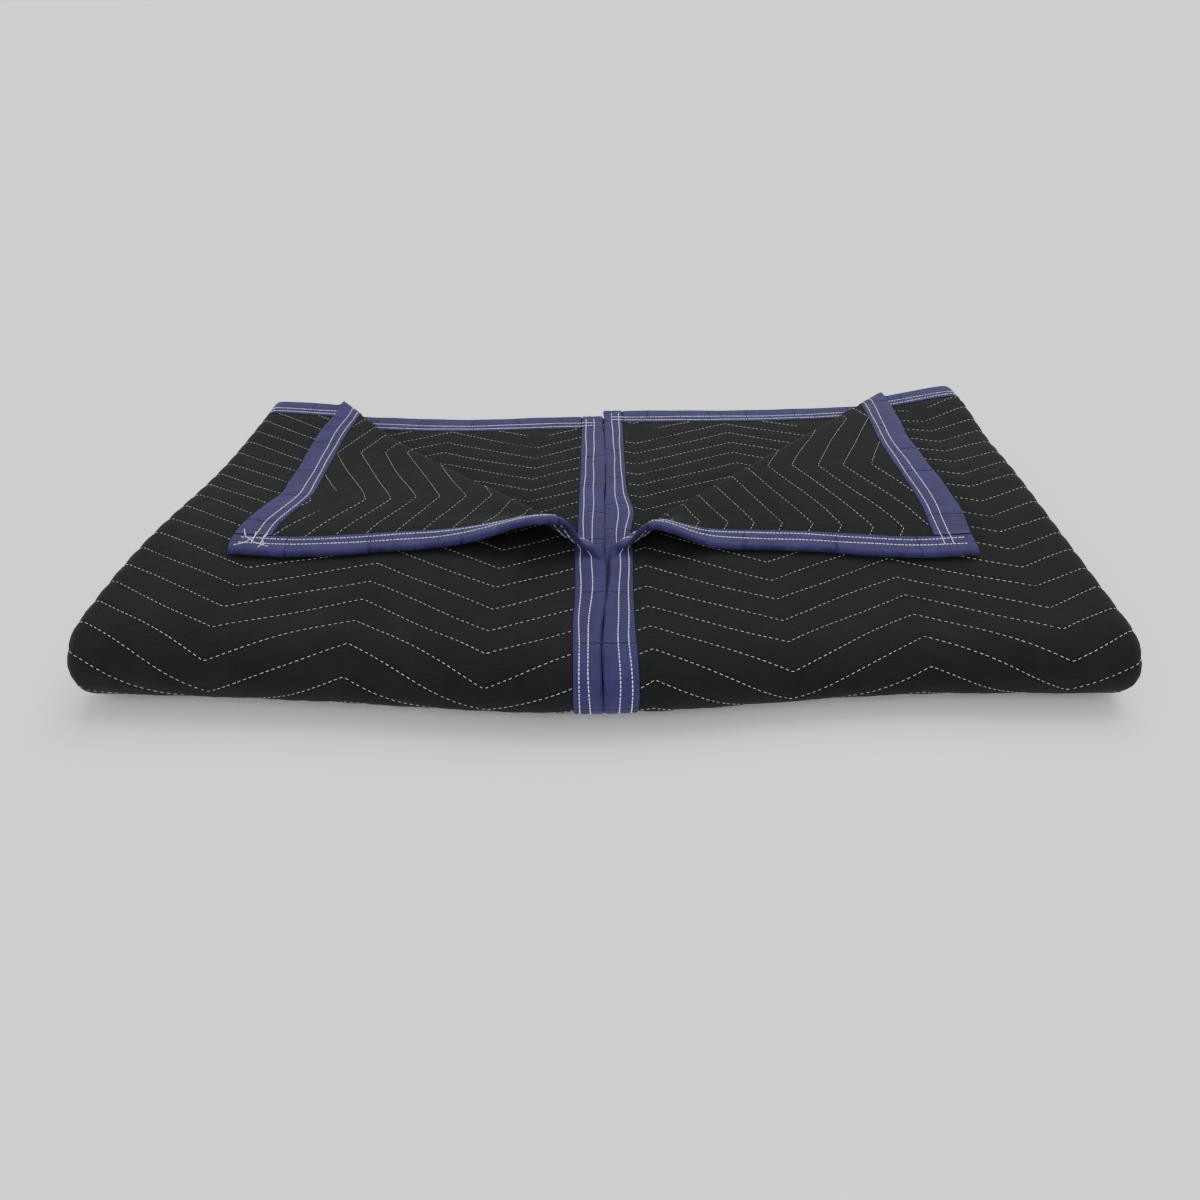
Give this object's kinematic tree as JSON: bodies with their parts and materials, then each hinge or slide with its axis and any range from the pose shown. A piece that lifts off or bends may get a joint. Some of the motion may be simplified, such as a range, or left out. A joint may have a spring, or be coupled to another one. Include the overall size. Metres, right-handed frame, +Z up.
{
  "type": "moving blanket",
  "caption": "Quilted padded blanket with bound edges, folded flat into a thick oblong pack with its upper corners turned back.",
  "frame": {"origin": "middle of the folded pack's footprint, on the surface that it rests on", "axes": "+X along the front fold, to the right seen from the front; -Y towards the front fold, +Y towards the bound ends; +Z up"},
  "size_m": [0.9271, 0.5584, 0.0939],
  "materials": {
    "cloth": "matt charcoal black twill, quilted with pale thread",
    "tape": "matt violet blue woven tape, sewn with two rows of pale thread"
  },
  "bodies": {
    "root": {"quilted_cloth": "cloth", "side_binding_left": "tape", "side_binding_right": "tape", "end_binding_top": "tape", "end_binding_under": "tape"}
  },
  "joints": []
}
